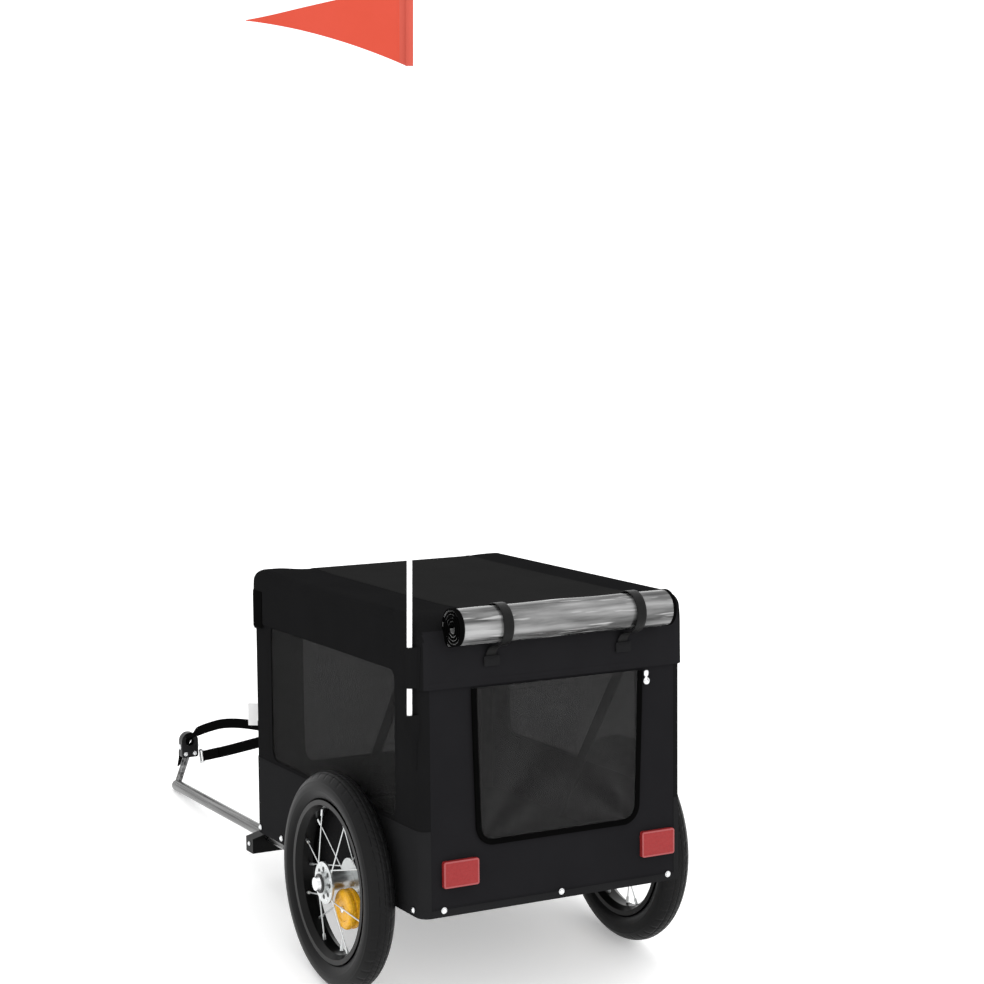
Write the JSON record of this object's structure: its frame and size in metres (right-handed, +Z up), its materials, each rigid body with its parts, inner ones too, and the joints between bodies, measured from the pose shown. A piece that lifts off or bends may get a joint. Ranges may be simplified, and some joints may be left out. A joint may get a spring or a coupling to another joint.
{
  "type": "pet bike trailer",
  "caption": "Cloth-sided pet trailer towed by a bicycle, with lifting mesh doors, a one-sided drawbar, a rolled rain cover and a safety flag, parked on its drawbar.",
  "frame": {"origin": "on the ground, under the middle of the whole trailer's box as it stands parked", "axes": "+X forward towards the hitch, +Y to the trailer's left, +Z up; the cabin is nose down because it rests on its drawbar"},
  "size_m": [0.9736, 0.6378, 1.3801],
  "materials": {
    "black_cloth": "woven, matt",
    "black_mesh": "fine net",
    "webbing": "woven strap",
    "floor_board": "matt",
    "frame_paint": "black powder coat",
    "rim_paint": "satin black",
    "bar_steel": "satin",
    "bright_plate": "bright plated",
    "tyre_rubber": "matt",
    "amber_reflector": "clear amber",
    "red_reflector": "clear red",
    "clear_film": "clear soft film, rolled",
    "white_rod": "smooth",
    "flag_cloth": "thin woven",
    "tag_cloth": "woven, blank"
  },
  "bodies": {
    "trailer": {"side_rail_left": "frame_paint", "side_rail_right": "frame_paint", "cross_rail_front": "frame_paint", "cross_rail_middle": "frame_paint", "cross_rail_rear": "frame_paint", "axle_tube": "frame_paint", "floor_board": "floor_board", "posts_left": "frame_paint", "top_rail_left": "frame_paint", "stay_left": "frame_paint", "posts_right": "frame_paint", "top_rail_right": "frame_paint", "stay_right": "frame_paint", "top_bar_front": "frame_paint", "top_bar_rear": "frame_paint", "wall_left": "black_cloth", "window_left": "black_mesh", "wall_right": "black_cloth", "window_right": "black_mesh", "wall_rear": "black_cloth", "wall_front": "black_cloth", "roof_cover": "black_cloth", "rain_cover_roll": "clear_film", "roll_straps": "webbing", "reflector_left": "red_reflector", "reflector_right": "red_reflector", "stub_axle_left": "bright_plate", "stub_axle_right": "bright_plate", "drawbar": "bar_steel", "drawbar_shoe": "frame_paint", "hitch_yoke": "bar_steel", "safety_strap": "webbing", "strap_ring": "bright_plate", "flag_pole": "white_rod", "pole_sleeve": "black_cloth", "pole_pocket": "black_cloth", "flag": "flag_cloth", "tag": "tag_cloth"},
    "wheel_left": {"tyre_left": "tyre_rubber", "rim_left": "rim_paint", "hub_left": "bright_plate", "wheel_reflector_left": "amber_reflector"},
    "wheel_right": {"tyre_right": "tyre_rubber", "rim_right": "rim_paint", "hub_right": "bright_plate", "wheel_reflector_right": "amber_reflector"},
    "rear_door": {"door_rear": "black_mesh"},
    "front_door": {"door_front": "black_mesh"}
  },
  "joints": [
    {"name": "wheel_left_spin", "type": "hinge", "parent": "trailer", "child": "wheel_left", "pos_m": [-0.29094, 0.18463, 0.152], "axis": [0, 1, 0], "continuous": true},
    {"name": "wheel_right_spin", "type": "hinge", "parent": "trailer", "child": "wheel_right", "pos_m": [-0.29094, -0.28437, 0.152], "axis": [0, 1, 0], "continuous": true},
    {"name": "rear_door_lift", "type": "hinge", "parent": "trailer", "child": "rear_door", "pos_m": [-0.4391, -0.05437, 0.47067], "axis": [0, 1, 0], "range_deg": [0, 90]},
    {"name": "front_door_lift", "type": "hinge", "parent": "trailer", "child": "front_door", "pos_m": [0.112, -0.04987, 0.38794], "axis": [0, -1, 0], "range_deg": [0, 90]}
  ]
}
